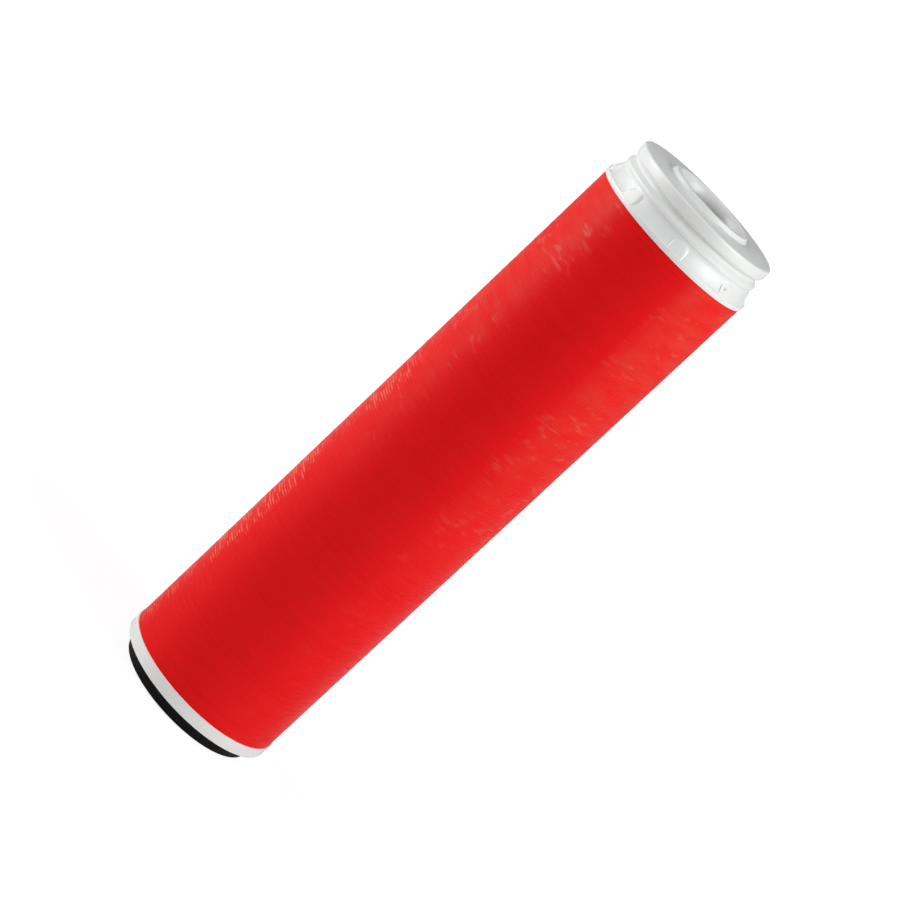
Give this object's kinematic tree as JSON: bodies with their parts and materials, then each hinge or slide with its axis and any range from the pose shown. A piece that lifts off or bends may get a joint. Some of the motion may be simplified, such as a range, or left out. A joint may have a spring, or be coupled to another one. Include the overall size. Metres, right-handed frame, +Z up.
{
  "type": "washable filter cartridge",
  "caption": "Tall red ring-stack water filter cartridge: white screw collar with seal groove and raised lip on top, black gasket under a white base flange.",
  "frame": {"origin": "centre of the bottom gasket's lower face, where the cartridge stands", "axes": "+Z up the cartridge's axis, from the gasket to the collar; -Y is the side that faces the camera"},
  "size_m": [0.0656, 0.0656, 0.2558],
  "materials": {
    "white_plastic": "satin",
    "red_plastic": "semi-gloss",
    "black_rubber": "matt"
  },
  "bodies": {
    "root": {"core": "white_plastic", "bottom_gasket": "black_rubber", "disc_pack_01": "red_plastic", "disc_pack_02": "red_plastic", "disc_pack_03": "red_plastic", "disc_pack_04": "red_plastic", "disc_pack_05": "red_plastic", "disc_pack_06": "red_plastic", "disc_pack_07": "red_plastic", "disc_pack_08": "red_plastic", "disc_pack_09": "red_plastic", "disc_pack_10": "red_plastic", "disc_pack_11": "red_plastic", "disc_pack_12": "red_plastic", "disc_pack_13": "red_plastic", "disc_pack_14": "red_plastic", "disc_pack_15": "red_plastic", "disc_pack_16": "red_plastic", "collar_washer": "black_rubber", "collar": "white_plastic"}
  },
  "joints": []
}
